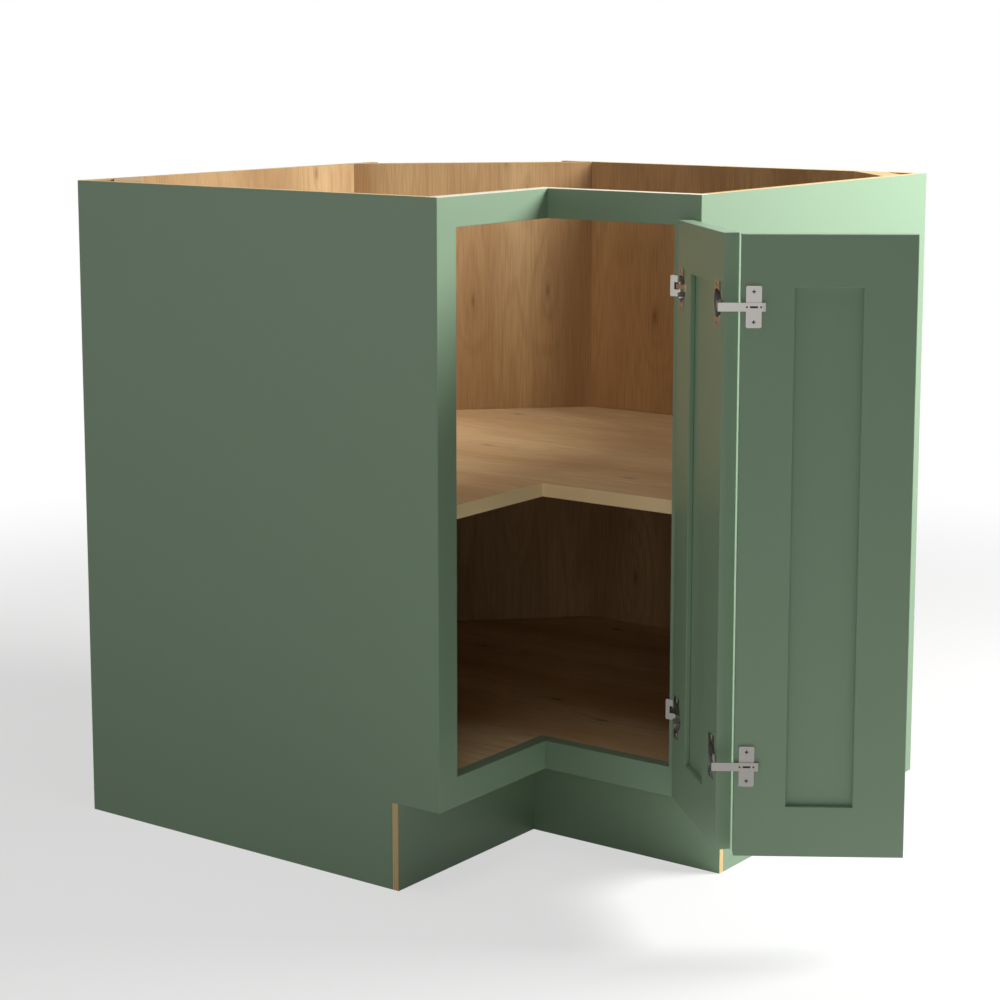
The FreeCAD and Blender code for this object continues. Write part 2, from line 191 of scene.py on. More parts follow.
@dataclass(frozen=True)
class SprayedPaint:
    """Sage-green catalysed paint, sprayed: an even satin film with the faintest orange peel."""

    name: str = "sage_green_satin_paint"
    colour: str = "829A80"
    roughness: float = 0.42
    ior: float = 1.48
    specular: float = 0.3
    peel_mm: float = 2.5
    peel_detail: float = 1.0
    peel_depth: float = 0.02

    def build(self) -> bpy.types.Material:
        """Makes the paint.

        Returns:
            The material.
        """
        sockets = {
            "Base Color": linear(self.colour), "Roughness": self.roughness,
            "IOR": self.ior, "Specular IOR Level": self.specular,
        }
        made, shader = new_material(self.name, sockets)
        tree = made.node_tree
        place = add_node(tree, "ShaderNodeTexCoord", {}, {})
        peel_settings = {"Scale": 1 / (self.peel_mm * MM), "Detail": self.peel_detail}
        peel_links = {"Vector": place.outputs["Object"]}
        peel = add_node(tree, "ShaderNodeTexNoise", peel_settings, peel_links)
        bump_settings = {"Strength": self.peel_depth, "Distance": MM}
        bump = add_node(tree, "ShaderNodeBump", bump_settings, {"Height": peel.outputs["Fac"]})
        tree.links.new(bump.outputs["Normal"], shader.inputs["Normal"])
        return made


@dataclass(frozen=True)
class KnottyWood:
    """Clear-coated knotty alder veneer: soft growth flames, fine fibres and a few small knots."""

    name: str
    grain: Grain
    start_mm: float = 0.0  # another slice of the noise, so that two boards differ
    roughness: float = 0.6
    specular: float = 0.12
    noise_detail: float = 1.6
    noise_roughness: float = 0.45

    pale: str = "CFAE81"
    deep: str = "B08C62"
    tone_span: tuple[float, float] = (0.34, 0.66)
    drift_mm: float = 130.0

    line: str = "9F7B53"
    line_start: float = 0.1
    line_strength: str = "7C7C7C"
    flame_mm: float = 120.0
    flame_stretch: float = 0.16
    lines_per_flame: float = 11.0

    fibre_shade: str = "C8B8A4"
    fibre_span: tuple[float, float] = (0.30, 0.62)
    fibre_strength: float = 0.4
    fibre_mm: float = 1.9  # real fibres are finer: these are drawn coarser, so that they show
    fibre_stretch: float = 0.035

    knot: str = "6A4528"
    knot_spacing_mm: float = 150.0
    knot_stretch: float = 0.36
    knot_reach: float = 0.3  # how far round a knot the growth lines bend, in knot spacings
    knot_swell: float = 0.2  # added to the flames at a knot's middle, where noise is 0 to 1

    def board_place(self, tree: bpy.types.NodeTree) -> bpy.types.NodeSocket:
        """Adds the place on the board, along the grain and across it.

        Args:
            tree: The material's node tree.

        Returns:
            The place.
        """
        here = add_node(tree, "ShaderNodeTexCoord", {}, {}).outputs["Object"]
        links = {}
        for name, way in zip(("X", "Y"), self.grain.value):
            settings = {"operation": "DOT_PRODUCT", 1: way}
            part = add_node(tree, "ShaderNodeVectorMath", settings, {0: here})
            links[name] = part.outputs["Value"]
        return add_node(tree, "ShaderNodeCombineXYZ", {"Z": self.start_mm * MM}, links).outputs[0]

    def noise(
        self, tree: bpy.types.NodeTree, place: bpy.types.NodeSocket, size_mm: float, stretch: float,
    ) -> bpy.types.NodeSocket:
        """Adds noise drawn out along the grain.

        Args:
            tree: The material's node tree.
            place: The place on the board.
            size_mm: The size of its patches across the grain.
            stretch: Their size across over their size along.

        Returns:
            The noise.
        """
        drawn = add_node(tree, "ShaderNodeMapping", {"Scale": (stretch, 1.0, 1.0)}, {0: place})
        settings = {
            "Scale": 1 / (size_mm * MM), "Detail": self.noise_detail,
            "Roughness": self.noise_roughness,
        }
        made = add_node(tree, "ShaderNodeTexNoise", settings, {"Vector": drawn.outputs[0]})
        return made.outputs["Fac"]

    def knot_distance(
        self, tree: bpy.types.NodeTree, place: bpy.types.NodeSocket,
    ) -> bpy.types.NodeSocket:
        """Scatters the knots.

        Args:
            tree: The material's node tree.
            place: The place on the board.

        Returns:
            The distance from the nearest knot's middle, in knot spacings.
        """
        scale = (self.knot_stretch, 1.0, 1.0)
        drawn = add_node(tree, "ShaderNodeMapping", {"Scale": scale}, {0: place})
        settings = {
            "voronoi_dimensions": "2D", "Scale": 1 / (self.knot_spacing_mm * MM), "Randomness": 1.0,
        }
        cells = add_node(tree, "ShaderNodeTexVoronoi", settings, {"Vector": drawn.outputs[0]})
        return cells.outputs["Distance"]

    def add_lines(
        self, tree: bpy.types.NodeTree, place: bpy.types.NodeSocket,
        from_knot: bpy.types.NodeSocket, under: bpy.types.NodeSocket,
    ) -> bpy.types.NodeSocket:
        """Draws the growth lines: contours of slow noise, which close into flames and ovals.

        Args:
            tree: The material's node tree.
            place: The place on the board.
            from_knot: The distance from the nearest knot, round which the lines go.
            under: The colour under the lines.

        Returns:
            The colour with the lines.
        """
        swell_settings = {
            "From Min": 0.0, "From Max": self.knot_reach, "To Min": self.knot_swell, "To Max": 0.0,
        }
        swell = add_node(tree, "ShaderNodeMapRange", swell_settings, {"Value": from_knot})
        flames = self.noise(tree, place, self.flame_mm, self.flame_stretch)
        bent_links = {0: flames, 1: swell.outputs[0]}
        bent = add_node(tree, "ShaderNodeMath", {"operation": "ADD"}, bent_links)
        turns = {"operation": "MULTIPLY", 1: math.tau * self.lines_per_flame}
        phase = add_node(tree, "ShaderNodeMath", turns, {0: bent.outputs[0]})
        wave = add_node(tree, "ShaderNodeMath", {"operation": "SINE"}, {0: phase.outputs[0]})
        stops = {self.line_start: BLACK, 1.0: self.line_strength}
        share = add_ramp(tree, wave.outputs[0], stops)
        settings = {"data_type": "RGBA", MIX_OVER: linear(self.line)}
        mixed = add_node(tree, "ShaderNodeMix", settings, {MIX_SHARE: share, MIX_UNDER: under})
        return mixed.outputs[MIX_RESULT]

    def add_fibres(
        self, tree: bpy.types.NodeTree, place: bpy.types.NodeSocket, under: bpy.types.NodeSocket,
    ) -> bpy.types.NodeSocket:
        """Darkens the wood along its fibres.

        Args:
            tree: The material's node tree.
            place: The place on the board.
            under: The colour under the fibres.

        Returns:
            The colour with the fibres.
        """
        fibres = self.noise(tree, place, self.fibre_mm, self.fibre_stretch)
        shade = add_ramp(tree, fibres, dict(zip(self.fibre_span, (self.fibre_shade, WHITE))))
        settings = {"data_type": "RGBA", "blend_type": "MULTIPLY", MIX_SHARE: self.fibre_strength}
        mixed = add_node(tree, "ShaderNodeMix", settings, {MIX_UNDER: under, MIX_OVER: shade})
        return mixed.outputs[MIX_RESULT]

    def add_knots(
        self, tree: bpy.types.NodeTree, from_knot: bpy.types.NodeSocket,
        under: bpy.types.NodeSocket,
    ) -> bpy.types.NodeSocket:
        """Darkens the wood at its knots.

        Args:
            tree: The material's node tree.
            from_knot: The distance from the nearest knot.
            under: The colour under the knots.

        Returns:
            The colour with the knots.
        """
        share = add_ramp(tree, from_knot, KNOT_STRENGTH)
        settings = {"data_type": "RGBA", MIX_OVER: linear(self.knot)}
        mixed = add_node(tree, "ShaderNodeMix", settings, {MIX_SHARE: share, MIX_UNDER: under})
        return mixed.outputs[MIX_RESULT]

    def build(self) -> bpy.types.Material:
        """Makes the veneer.

        Returns:
            The material.
        """
        sockets = {"Roughness": self.roughness, "Specular IOR Level": self.specular}
        made, shader = new_material(self.name, sockets)
        tree = made.node_tree
        place = self.board_place(tree)
        drift = self.noise(tree, place, self.drift_mm, self.flame_stretch)
        tone = add_ramp(tree, drift, dict(zip(self.tone_span, (self.deep, self.pale))))
        from_knot = self.knot_distance(tree, place)
        lined = self.add_lines(tree, place, from_knot, tone)
        fibred = self.add_fibres(tree, place, lined)
        surface = self.add_knots(tree, from_knot, fibred)
        tree.links.new(surface, shader.inputs["Base Color"])
        return made


@dataclass(frozen=True)
class PlyEdge:
    """Sawn birch plywood edge: pale veneers with thin darker glue lines."""

    name: str
    across: tuple[float, float, float]
    pale: str = "E6CB94"
    dark: str = "C39A5C"
    darkest_at: float = 0.75
    veneer_mm: float = 3.0
    roughness: float = 0.7

    def build(self) -> bpy.types.Material:
        """Makes the edge, its layers stacked along the board's thickness.

        Returns:
            The material.
        """
        made, shader = new_material(self.name, {"Roughness": self.roughness})
        tree = made.node_tree
        place = add_node(tree, "ShaderNodeTexCoord", {}, {})
        stack_settings = {"operation": "DOT_PRODUCT", 1: self.across}
        stack_links = {0: place.outputs["Object"]}
        stack = add_node(tree, "ShaderNodeVectorMath", stack_settings, stack_links)
        turns = {"operation": "MULTIPLY", 1: math.tau / (self.veneer_mm * MM)}
        phase = add_node(tree, "ShaderNodeMath", turns, {0: stack.outputs["Value"]})
        layers = add_node(tree, "ShaderNodeMath", {"operation": "SINE"}, {0: phase.outputs[0]})
        stops = {0.0: self.pale, self.darkest_at: self.dark}
        colour = add_ramp(tree, layers.outputs[0], stops)
        tree.links.new(colour, shader.inputs["Base Color"])
        return made


@dataclass(frozen=True)
class SawnMaple:
    """Bare planed wood, soft maple unless named otherwise: a pale even edge with no gloss."""

    name: str = "bare_soft_maple"
    colour: str = "EADFC9"
    roughness: float = 0.75

    def build(self) -> bpy.types.Material:
        """Makes the bare edge."""
        sockets = {"Base Color": linear(self.colour), "Roughness": self.roughness}
        return new_material(self.name, sockets)[0]


@dataclass(frozen=True)
class NickelPlate:
    """Nickel-plated pressed steel: bright, slightly warm, softly blurred by the tumbled finish."""

    name: str = "nickel_plated_steel"
    colour: str = "9A9793"
    roughness: float = 0.32

    def build(self) -> bpy.types.Material:
        """Makes the plating."""
        sockets = {
            "Base Color": linear(self.colour), "Metallic": 1.0, "Roughness": self.roughness,
        }
        return new_material(self.name, sockets)[0]


class Finishes:
    """All the finishes of the cabinet, each made once."""

    def __init__(self) -> None:
        """Makes the materials."""
        self.paint = SprayedPaint().build()
        self.upright_wood = KnottyWood("knotty_alder_upright", Grain.UPRIGHT).build()
        self.slanted_wood = KnottyWood(
            "knotty_alder_slanted", Grain.UPRIGHT, start_mm=430.0,
        ).build()
        self.shelf_wood = KnottyWood(
            "knotty_alder_shelf", Grain.ACROSS, pale="E8CA9E", deep="CDA87B", line="BC966A",
        ).build()
        self.edge_x = PlyEdge("birch_ply_edge_x", tuple(RIGHT)).build()
        self.edge_y = PlyEdge("birch_ply_edge_y", tuple(BACK)).build()
        self.edge_slanted = PlyEdge("birch_ply_edge_slanted", tuple(SLANT)).build()
        self.bare_maple = SawnMaple().build()
        self.edge_band = SawnMaple("alder_edge_band", "F2D6A4").build()
        self.nickel = NickelPlate().build()
        # Painted shade: a dark steel for the floors of pressed windows and screw crosses, which
        # look dark only because they are deep.
        self.painted_recess_shade = NickelPlate("dark_steel_painted_shade", "2B2A29", 0.5).build()


@dataclass
class EasedPiece:
    """A board or fitting of the frame, with eased edges and a finish for each way it looks."""

    node: str
    body: Body
    slot: Slot
    rest: bpy.types.Material
    faces: list[FaceFinish] = field(default_factory=list)
    ease_mm: float = 0.8
    segments: int = 2
    shortest_mm: float = 4.0  # shorter edges stay sharp
    joined_to: tuple[str, ...] = ()
    touch_mm: float = 0.15  # an edge this near a glued piece lies against it
    widest_facet_mm2: float = 50.0  # a larger face is no facet of a round surface
    # the painted shade for the floors of pressed windows
    recess: bpy.types.Material | None = None

    def is_joint(self, edge: bmesh.types.BMEdge, trees: list[BVHTree]) -> bool:
        """Tells an edge that lies against a glued piece, where the paint hides the joint.

        Args:
            edge: The edge.
            trees: The surfaces of the glued pieces.

        Returns:
            True for such an edge.
        """
        middle = (edge.verts[0].co + edge.verts[1].co) / 2
        reach_m = self.touch_mm * MM
        return any(tree.find_nearest(middle, reach_m)[0] is not None for tree in trees)

    def cad_shape(self) -> bmesh.types.BMesh:
        """Copies the node's mesh, with its flat faces whole.

        Returns:
            The shape.
        """
        shape = bmesh.new()
        shape.from_mesh(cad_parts[self.node].data)
        bmesh.ops.remove_doubles(shape, verts=shape.verts, dist=WELD_MM * MM)
        bmesh.ops.dissolve_limit(
            shape, angle_limit=FLAT_BEND, verts=shape.verts, edges=shape.edges,
        )
        return shape

    def split_at_joints(self, shape: bmesh.types.BMesh) -> None:
        """Cuts the piece where the glued pieces end in height, so that edges ease between them.

        Args:
            shape: The piece so far.
        """
        for other in self.joined_to:
            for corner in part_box(other):
                whole = shape.verts[:] + shape.edges[:] + shape.faces[:]
                bmesh.ops.bisect_plane(
                    shape, geom=whole, dist=WELD_MM * MM, plane_co=corner, plane_no=UP,
                )

    def detail(self, shape: bmesh.types.BMesh) -> None:
        """Adds what the piece has besides its eased edges."""

    def mark_round(self, shape: bmesh.types.BMesh) -> None:
        """Marks the narrow facets of round surfaces as smooth and every other face as flat.

        Args:
            shape: The piece before its edges are eased.
        """
        least, most = ROUND_BENDS
        for face in shape.faces:
            bends = [edge.calc_face_angle(0.0) for edge in face.edges]
            narrow = face.calc_area() < self.widest_facet_mm2 * MM * MM
            face.smooth = narrow and any(least < bend < most for bend in bends)

    def round_edges(
        self, shape: bmesh.types.BMesh, length_mm: float, radius_mm: float,
    ) -> None:
        """Rounds the sharp edges of one length, such as a plate's corners.

        Args:
            shape: The piece so far.
            length_mm: The length of the edges.
            radius_mm: Their new radius.
        """
        corners = [
            edge for edge in shape.edges
            if len(edge.link_faces) == 2
            and abs(edge.calc_length() - length_mm * MM) < LENGTH_SLACK_MM * MM
            and edge.calc_face_angle() > CORNER_BEND
        ]
        bmesh.ops.bevel(
            shape, geom=corners, offset=radius_mm * MM, offset_type="OFFSET", affect="EDGES",
            segments=CORNER_SEGMENTS, profile=ROUND_PROFILE, material=-1, clamp_overlap=True,
        )

    def level_faces(
        self, shape: bmesh.types.BMesh, at: Vector, out: Vector,
    ) -> list[bmesh.types.BMFace]:
        """Finds the faces that look out at the level of a point.

        Args:
            shape: The piece so far.
            at: The point.
            out: The way they look.

        Returns:
            The faces.
        """
        return [
            face for face in shape.faces
            if face.normal.dot(out) > SQUARE_ON
            and abs((face.calc_center_median() - at).dot(out)) < LEVEL_SLACK_MM * MM
        ]

    def sink(
        self, shape: bmesh.types.BMesh, at: Vector, out: Vector,
        windows: list[tuple[float, float]], depth_mm: float,
    ) -> None:
        """Presses windows into a flat face.

        Args:
            shape: The piece so far.
            at: The middle of the windows, on the face.
            out: The face's outward normal.
            windows: Width and height of each window, in millimetres.
            depth_mm: How deep they go.
        """
        along = UP.cross(out).normalized()
        for width, height in windows:
            for way, size in ((along, width), (UP, height)):
                for side in (-1, 1):
                    near = self.level_faces(shape, at, out)
                    edges = {edge for face in near for edge in face.edges}
                    corners = {corner for face in near for corner in face.verts}
                    bmesh.ops.bisect_plane(
                        shape, geom=near + list(edges) + list(corners), dist=CUT_MM * MM,
                        plane_co=at + way * (side * size * MM / 2), plane_no=way,
                    )
        pressed = []
        for face in self.level_faces(shape, at, out):
            away = face.calc_center_median() - at
            aside, above = abs(away.dot(along)), abs(away.z)
            if any(aside < width * MM / 2 and above < height * MM / 2 for width, height in windows):
                pressed.append(face)
        made = bmesh.ops.extrude_face_region(shape, geom=pressed)["geom"]
        bmesh.ops.delete(shape, geom=pressed, context="FACES")
        for item in made:
            if isinstance(item, bmesh.types.BMFace):
                item.material_index = SUNK
        moved = [item for item in made if isinstance(item, bmesh.types.BMVert)]
        bmesh.ops.translate(shape, verts=moved, vec=-out * (depth_mm * MM))

    def ease(self, shape: bmesh.types.BMesh) -> None:
        """Eases the sharp edges, apart from those at glued joints.

        Args:
            shape: The piece with its details.
        """
        trees = []
        for other in self.joined_to:
            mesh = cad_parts[other].data
            corners = [vertex.co for vertex in mesh.vertices]
            trees.append(BVHTree.FromPolygons(corners, [face.vertices for face in mesh.polygons]))
        sharp = [
            edge for edge in shape.edges
            if len(edge.link_faces) == 2
            and edge.calc_face_angle() > SHARP_BEND
            and edge.calc_length() > self.shortest_mm * MM
            and not self.is_joint(edge, trees)
        ]
        eased = bmesh.ops.bevel(
            shape, geom=sharp, offset=self.ease_mm * MM, offset_type="OFFSET", affect="EDGES",
            segments=self.segments, profile=ROUND_PROFILE, material=-1, clamp_overlap=True,
        )
        for face in eased["faces"]:
            face.smooth = True
        bmesh.ops.recalc_face_normals(shape, faces=shape.faces)

    def mark_finishes(self, shape: bmesh.types.BMesh) -> None:
        """Gives each face the number of its finish, apart from the floors of windows.

        Args:
            shape: The eased piece.
        """
        for face in shape.faces:
            if face.material_index == SUNK:
                continue
            face.material_index = 0
            for index, (way, _) in enumerate(self.faces, start=1):
                if face.normal.dot(way) > SQUARE_ON:
                    face.material_index = index

    def paint_sunk_shade(self, mesh: bpy.types.Mesh) -> None:
        """Gives the floors of pressed windows the painted shade: a dark steel that stands in for
        the shade deep inside them.

        Args:
            mesh: The finished mesh.
        """
        sunk = [face for face in mesh.polygons if face.material_index == SUNK]
        if sunk and self.recess is not None:
            mesh.materials.append(self.recess)
        for face in sunk:
            face.material_index = len(mesh.materials) - 1

    def make_mesh(self, shape: bmesh.types.BMesh) -> bpy.types.Mesh:
        """Turns the shape into a mesh with its finishes.

        Args:
            shape: The eased piece, which is freed.

        Returns:
            The mesh.
        """
        mesh = bpy.data.meshes.new(f"{self.node}_eased")
        shape.to_mesh(mesh)
        shape.free()
        rounded = [face.use_smooth for face in mesh.polygons]
        mesh.set_sharp_from_angle(angle=CREASE_BEND)
        mesh.polygons.foreach_set("use_smooth", rounded)  # the line above makes all faces smooth
        for finish in [self.rest] + [finish for _, finish in self.faces]:
            mesh.materials.append(finish)
        self.paint_sunk_shade(mesh)
        return mesh

    def build(self) -> None:
        """Makes the piece in the place of its node."""
        shape = self.cad_shape()
        self.split_at_joints(shape)
        self.detail(shape)
        self.mark_round(shape)
        self.ease(shape)
        self.mark_finishes(shape)
        mesh = self.make_mesh(shape)
        piece = bpy.data.objects.new(mesh.name, mesh)
        bpy.context.scene.collection.objects.link(piece)
        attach(piece, self.body.value)
        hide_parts(self.node)
        LOG.info("made %s", piece.name)


@dataclass
class Carcass:
    """The plywood box: sides, backs, deck, shelf, braces and toe-kick boards."""

    finishes: Finishes
    ease_mm: float = 0.5

    def board(
        self, node: str, slot: Slot, rest: bpy.types.Material, faces: list[FaceFinish],
        glued: tuple[str, ...] = (),
    ) -> None:
        """Makes one board.

        Args:
            node: The board's node.
            slot: Its material slot.
            rest: The finish of all faces that aren't listed.
            faces: The ways that other faces look, and their finishes.
            glued: The nodes against which its edges stay sharp.
        """
        EasedPiece(
            node, Body.CABINET, slot, rest, faces, ease_mm=self.ease_mm, joined_to=glued,
        ).build()

    def build(self) -> None:
        """Makes all the boards."""
        use = self.finishes
        wood = use.upright_wood
        ends = (("left", use.edge_y, LEFT, BACK), ("right", use.edge_x, BACK, LEFT))
        for side, edge, rear, inside in ends:
            faces = [(way, edge) for way in (UP, DOWN, rear)] + [(inside, wood)]
            self.board(f"{side}_side_panel", Slot.PAINT, use.paint, faces, (f"{side}_stile",))
        backs = (("left", use.edge_x, (LEFT, RIGHT)), ("right", use.edge_y, (FRONT, BACK)))
        for side, edge, ways in backs:
            self.board(f"{side}_back_panel", Slot.WOOD, edge, [(way, wood) for way in ways])
            self.board(f"{side}_corner_brace", Slot.WOOD, use.shelf_wood, [])
        slanted = [(way, use.slanted_wood) for way in (SLANT, -SLANT)]
        self.board("diagonal_back_panel", Slot.WOOD, use.edge_slanted, slanted)
        self.board("deck", Slot.WOOD, use.shelf_wood, [])
        banded = [(way, use.edge_band) for way in (RIGHT, FRONT)]
        self.board("shelf", Slot.WOOD, use.shelf_wood, banded)
        kicks = (("left", use.edge_x, FRONT, LEFT), ("right", use.edge_y, RIGHT, BACK))
        for side, edge, end, inside in kicks:
            faces = [(end, edge), (inside, wood)]
            self.board(f"{side}_toe_kick", Slot.PAINT, use.paint, faces)


@dataclass
class FaceFrame:
    """The painted hardwood frame around the opening, bare along its upper edge."""

    finishes: Finishes
    parts: tuple[str, ...] = ("stile", "top_rail", "bottom_rail")

    def build(self) -> None:
        """Makes the stiles and rails."""
        paint, bare_maple = self.finishes.paint, self.finishes.bare_maple
        for side in ("left", "right"):
            for part in self.parts:
                bare = [] if part == "bottom_rail" else [(UP, bare_maple)]
                glued = tuple(f"{side}_{other}" for other in self.parts if other != part)
                if part == "stile":
                    glued += (f"{side}_side_panel",)
                EasedPiece(
                    f"{side}_{part}", Body.CABINET, Slot.PAINT, paint, bare, joined_to=glued,
                ).build()


@dataclass
class Door:
    """One five-piece door of the pair."""

    body: Body
    stiles: tuple[str, str]
    finishes: Finishes
    ease_mm: float = 0.9

    def board(self, part: str, glued: tuple[str, ...]) -> None:
        """Makes one board.

        Args:
            part: The board's name within the door.
            glued: The names of the boards that are glued to it in plain sight.
        """
        door = self.body.value
        EasedPiece(
            f"{door}_{part}", self.body, Slot.PAINT, self.finishes.paint, ease_mm=self.ease_mm,
            joined_to=tuple(f"{door}_{other}" for other in glued),
        ).build()

    def build(self) -> None:
        """Makes the stiles, rails and panel."""
        parts = self.stiles + ("top_rail", "bottom_rail")
        for part in parts:
            self.board(part, tuple(other for other in parts if other != part))
        self.board("panel", ())


def middle_of(node: str) -> Vector:
    """Gives the middle of a node's box."""
    low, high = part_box(node)
    return (Vector(low) + Vector(high)) / 2


def door_back(door: Body, node: str) -> Vector:
    """Gives the way that a door's face looks on the side where a fitting sits.

    Args:
        door: The door.
        node: The fitting.

    Returns:
        The outward normal.
    """
    panel = f"{door.value}_panel"
    widest = max(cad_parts[panel].data.polygons, key=lambda face: face.area)
    out = Vector(widest.normal)
    return out if (middle_of(node) - middle_of(panel)).dot(out) > 0 else -out


def reach(node: str, way: Vector) -> float:
    """Gives how far a node's mesh reaches along a way."""
    return max(vertex.co.dot(way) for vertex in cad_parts[node].data.vertices)


@dataclass
class HingeCup(EasedPiece):
    """A pressed cup with rounded screw ears."""

    ear_thickness_mm: float = 1.0  # as in the solid: tells the ears' corner edges
    ear_radius_mm: float = 7.0

    def detail(self, shape: bmesh.types.BMesh) -> None:
        """Rounds the ears."""
        self.round_edges(shape, self.ear_thickness_mm, self.ear_radius_mm)


@dataclass
class FoldPlate(EasedPiece):
    """A pressed mounting plate with rounded corners."""

    thickness_mm: float = 2.5  # as in the solid: tells the plate's corner edges
    corner_radius_mm: float = 2.4

    def detail(self, shape: bmesh.types.BMesh) -> None:
        """Rounds the corners."""
        self.round_edges(shape, self.thickness_mm, self.corner_radius_mm)


@dataclass
class FoldArm(EasedPiece):
    """The bent strap from the fold cup to its plate, with the adjuster's slot over the plate."""

    strap_mm: float = 10.0  # as in the solid: tells the edges across the strap's bends
    bend_radius_mm: float = 1.9
    slot_mm: tuple[float, float] = (9.0, 2.2)
    slot_depth_mm: float = 1.2
    dot_mm: float = 2.0
    dot_depth_mm: float = 0.8
    dot_offset_mm: float = 8.0

    def detail(self, shape: bmesh.types.BMesh) -> None:
        """Rounds the bends and presses the slot and its two dots.

        Args:
            shape: The piece so far.
        """
        self.round_edges(shape, self.strap_mm, self.bend_radius_mm)
        out = door_back(Body.FOLDING_DOOR, self.node)
        at = middle_of(self.node.replace("arm", "plate"))
        at += out * (reach(self.node, out) - at.dot(out))
        along = UP.cross(out).normalized()
        self.sink(shape, at, out, [self.slot_mm], self.slot_depth_mm)
        for side in (-1, 1):
            spot = at + along * (side * self.dot_offset_mm * MM)
            self.sink(shape, spot, out, [(self.dot_mm, self.dot_mm)], self.dot_depth_mm)


@dataclass
class FrameArm(EasedPiece):
    """The clip on the frame's stile, with a square window in its lip."""

    lip_thickness_mm: float = 1.2  # as in the solid: tells the lip's corner edges
    corner_radius_mm: float = 1.6
    window_mm: tuple[float, float] = (6.4, 9.0)
    window_from_edge_mm: float = 9.0
    window_depth_mm: float = 0.8

    def detail(self, shape: bmesh.types.BMesh) -> None:
        """Rounds the lip's corners and presses the window from which the strap comes.

        Args:
            shape: The piece so far.
        """
        self.round_edges(shape, self.lip_thickness_mm, self.corner_radius_mm)
        stile_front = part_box("right_stile")[0][1]
        at = middle_of(self.node)
        at.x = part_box(self.node)[0][0] + self.window_from_edge_mm * MM
        at.y = stile_front - self.lip_thickness_mm * MM
        self.sink(shape, at, FRONT, [self.window_mm], self.window_depth_mm)


@dataclass
class CrossScrews(EasedPiece):
    """Screws with a cross recess in each head, on a door or on the frame's stile."""

    arm_mm: float = 4.2
    arm_width_mm: float = 1.3
    depth_mm: float = 1.1

    def detail(self, shape: bmesh.types.BMesh) -> None:
        """Presses the cross into every head.

        Args:
            shape: The piece so far.
        """
        out = LEFT if self.body is Body.CABINET else door_back(self.body, self.node)
        top = reach(self.node, out) - LENGTH_SLACK_MM * MM
        heads = [
            face.calc_center_median() for face in shape.faces
            if face.normal.dot(out) > SQUARE_ON and face.calc_center_median().dot(out) > top
        ]
        cross = [(self.arm_mm, self.arm_width_mm), (self.arm_width_mm, self.arm_mm)]
        for head in heads:
            self.sink(shape, head, out, cross, self.depth_mm)


@dataclass
class Hinges:
    """The nickel hinges of both doors."""

    finishes: Finishes
    ease_mm: float = 0.3
    shortest_mm: float = 0.8
    screw_ease_mm: float = 0.15
    screw_depth_mm: float = 1.1
    cup_screw_depth_mm: float = 0.4  # the heads on the cups' ears are thin

    def build(self) -> None:
        """Makes the hinge pieces."""
        # The floors of pressed windows get the painted shade, a dark steel.
        nickel, painted_recess_shade = self.finishes.nickel, self.finishes.painted_recess_shade
        kinds: dict[str, tuple[Body, type[EasedPiece]]] = {
            "frame_hinge_arm": (Body.CABINET, FrameArm),
            "frame_hinge_cup": (Body.HINGED_DOOR, HingeCup),
            "fold_hinge_cup": (Body.HINGED_DOOR, HingeCup),
            "fold_hinge_plate": (Body.FOLDING_DOOR, FoldPlate),
            "fold_hinge_arm": (Body.FOLDING_DOOR, FoldArm),
        }
        for level in ("upper", "lower"):
            for part, (body, kind) in kinds.items():
                kind(
                    f"{level}_{part}", body, Slot.STEEL, nickel, ease_mm=self.ease_mm,
                    shortest_mm=self.shortest_mm, recess=painted_recess_shade,
                ).build()
            for pin in ("frame_hinge_pin", "fold_hinge_pin"):
                self.dress(f"{level}_{pin}")
        screws = {
            "hinge_cup_screws": (Body.HINGED_DOOR, self.cup_screw_depth_mm),
            "fold_plate_screws": (Body.FOLDING_DOOR, self.screw_depth_mm),
            "hinge_clip_screws": (Body.CABINET, self.screw_depth_mm),
        }
        for node, (body, depth) in screws.items():
            # The floors of the screw crosses get the painted shade, a dark steel.
            CrossScrews(
                node, body, Slot.STEEL, nickel, ease_mm=self.screw_ease_mm, depth_mm=depth,
                recess=painted_recess_shade,
            ).build()

    def dress(self, node: str) -> None:
        """Gives a fitting of the frame the nickel finish.

        Args:
            node: The fitting.
        """
        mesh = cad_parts[node].data
        mesh.materials.clear()
        mesh.materials.append(self.finishes.nickel)


@dataclass(frozen=True)
class Lamp:
    """A round soft lamp: where it hangs and aims, in metres, its width and its power in watts."""

    place: tuple[float, float, float]
    target: tuple[float, float, float]
    size: float
    power: float


